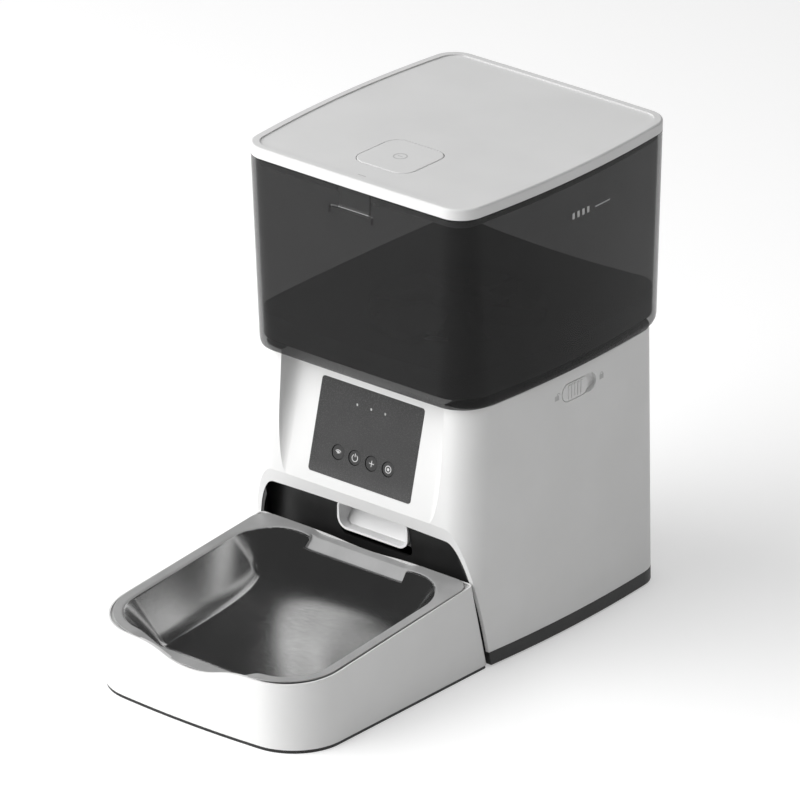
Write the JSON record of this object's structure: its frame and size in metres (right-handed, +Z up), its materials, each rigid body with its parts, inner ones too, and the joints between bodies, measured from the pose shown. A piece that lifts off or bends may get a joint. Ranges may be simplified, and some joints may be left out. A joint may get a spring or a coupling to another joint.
{
  "type": "automatic pet feeder",
  "caption": "Automatic pet feeder: smoked food tank with a push-open lid on a white housing with a control panel, a geared portion rotor, and a steel bowl in a pull-out tray.",
  "frame": {"origin": "on the floor, at the middle of the feeder's outer box", "axes": "+Z up, the bowl in front towards -Y, the lock slider on the +X side"},
  "size_m": [0.1926, 0.3639, 0.3113],
  "materials": {
    "bag_paper": "non-woven desiccant bag",
    "board_green": "green circuit board",
    "bowl_steel": "pressed stainless steel, bright satin",
    "cell_sleeve": "plain sleeve over a metal can",
    "contact_metal": "plated spring contacts",
    "dark_abs": "charcoal moulded ABS",
    "dark_floor": "near-black moulded ABS, semi-gloss",
    "dark_liner": "near-black moulded ABS, semi-gloss",
    "gear_nylon": "natural acetal",
    "key_black": "black keys with printed white symbols",
    "lid_white": "white moulded ABS, fine satin grain",
    "light_pipe": "dark clear light pipes",
    "motor_steel": "plated steel",
    "panel_black": "charcoal control plate, fine matt grain",
    "rubber_black": "black rubber",
    "screw_steel": "zinc-plated steel",
    "silicone": "translucent grey silicone",
    "smoke_tank": "smoke-tinted clear plastic, polished",
    "spring_steel": "spring steel wire",
    "white_abs": "white moulded ABS, semi-gloss"
  },
  "bodies": {
    "housing": {"body_shell": "white_abs", "base_plate": "dark_abs", "rubber_feet": "rubber_black", "base_screws": "screw_steel", "front_liner": "dark_liner", "food_chute": "white_abs", "portion_sensor": "dark_abs", "control_panel": "panel_black", "light_pipes": "light_pipe", "panel_board": "board_green", "microphone": "contact_metal", "drive_deck": "white_abs", "deck_screws": "screw_steel", "gearbox_case": "dark_abs", "motor": "motor_steel", "sealing_washer": "rubber_black", "battery_box": "white_abs", "cells": "cell_sleeve", "battery_contacts": "contact_metal", "main_board": "board_green", "dc_jack": "dark_abs", "speaker": "dark_abs"},
    "pinion": {"motor_shaft": "motor_steel", "motor_pinion": "gear_nylon"},
    "gear": {"drive_gear": "gear_nylon", "drive_shaft": "gear_nylon"},
    "door": {"battery_door": "dark_abs"},
    "lock": {"lock_slider": "white_abs"},
    "tank": {"hopper_tank": "smoke_tank", "hopper_floor": "dark_floor", "portion_wiper": "silicone"},
    "rotor": {"portion_rotor": "dark_floor", "stirrer": "silicone"},
    "lid": {"lid_shell": "lid_white", "lid_frame": "white_abs", "lid_seal": "silicone", "dry_box": "white_abs", "desiccant_bag": "bag_paper", "button_spring": "spring_steel"},
    "grille": {"dry_cover": "white_abs"},
    "push": {"lid_button": "lid_white"},
    "latch": {"lid_latch": "white_abs"},
    "tray": {"tray_shell": "white_abs", "tray_foot": "dark_abs"},
    "bowl": {"steel_bowl": "bowl_steel"},
    "key_1": {"control_key_1": "key_black"},
    "key_2": {"control_key_2": "key_black"},
    "key_3": {"control_key_3": "key_black"},
    "key_4": {"control_key_4": "key_black"}
  },
  "joints": [
    {"name": "tank_lift", "type": "slide", "parent": "housing", "child": "tank", "axis": [0, 0, 1], "range_m": [0, 0.12]},
    {"name": "rotor_spin", "type": "hinge", "parent": "tank", "child": "rotor", "pos_m": [0, 0.0809, 0.19], "axis": [0, 0, 1], "continuous": true},
    {"name": "gear_spin", "type": "hinge", "parent": "housing", "child": "gear", "pos_m": [0, 0.0809, 0.154], "axis": [0, 0, 1], "continuous": true},
    {"name": "pinion_spin", "type": "hinge", "parent": "housing", "child": "pinion", "pos_m": [0.0224, 0.0809, 0.154], "axis": [0, 0, 1], "continuous": true},
    {"name": "lid_hinge", "type": "hinge", "parent": "tank", "child": "lid", "pos_m": [0, 0.1814, 0.3028], "axis": [-1, 0, 0], "range_deg": [0, 75]},
    {"name": "push_press", "type": "slide", "parent": "lid", "child": "push", "axis": [0, 0, -1], "range_m": [0, 0.0025], "stiffness_N_per_m": 600, "deforming": ["button_spring"]},
    {"name": "latch_slide", "type": "slide", "parent": "lid", "child": "latch", "axis": [0, 1, 0], "range_m": [0, 0.0025]},
    {"name": "grille_twist", "type": "hinge", "parent": "lid", "child": "grille", "pos_m": [0, 0.118, 0.2866], "axis": [0, 0, 1], "range_deg": [0, 35]},
    {"name": "lock_slide", "type": "slide", "parent": "housing", "child": "lock", "axis": [0, 1, 0], "range_m": [0, 0.008]},
    {"name": "battery_door_hinge", "type": "hinge", "parent": "housing", "child": "door", "pos_m": [0, 0.1005, 0.0023], "axis": [-1, 0, 0], "range_deg": [0, 85]},
    {"name": "tray_pull", "type": "slide", "parent": "housing", "child": "tray", "axis": [0, -1, 0], "range_m": [0, 0.09]},
    {"name": "bowl_lift", "type": "slide", "parent": "tray", "child": "bowl", "axis": [0, -0.2588, 0.9659], "range_m": [0, 0.07]},
    {"name": "key_1_press", "type": "slide", "parent": "housing", "child": "key_1", "axis": [0, 0.9707, -0.2402], "range_m": [0, 0.0008], "stiffness_N_per_m": 250},
    {"name": "key_2_press", "type": "slide", "parent": "housing", "child": "key_2", "axis": [0, 0.9707, -0.2402], "range_m": [0, 0.0008], "stiffness_N_per_m": 250},
    {"name": "key_3_press", "type": "slide", "parent": "housing", "child": "key_3", "axis": [0, 0.9707, -0.2402], "range_m": [0, 0.0008], "stiffness_N_per_m": 250},
    {"name": "key_4_press", "type": "slide", "parent": "housing", "child": "key_4", "axis": [0, 0.9707, -0.2402], "range_m": [0, 0.0008], "stiffness_N_per_m": 250}
  ],
  "couplings": [
    {"joint": "gear_spin", "follows": "rotor_spin", "ratio": 1},
    {"joint": "pinion_spin", "follows": "rotor_spin", "ratio": -3.6667},
    {"joint": "latch_slide", "follows": "push_press", "ratio": 1}
  ]
}
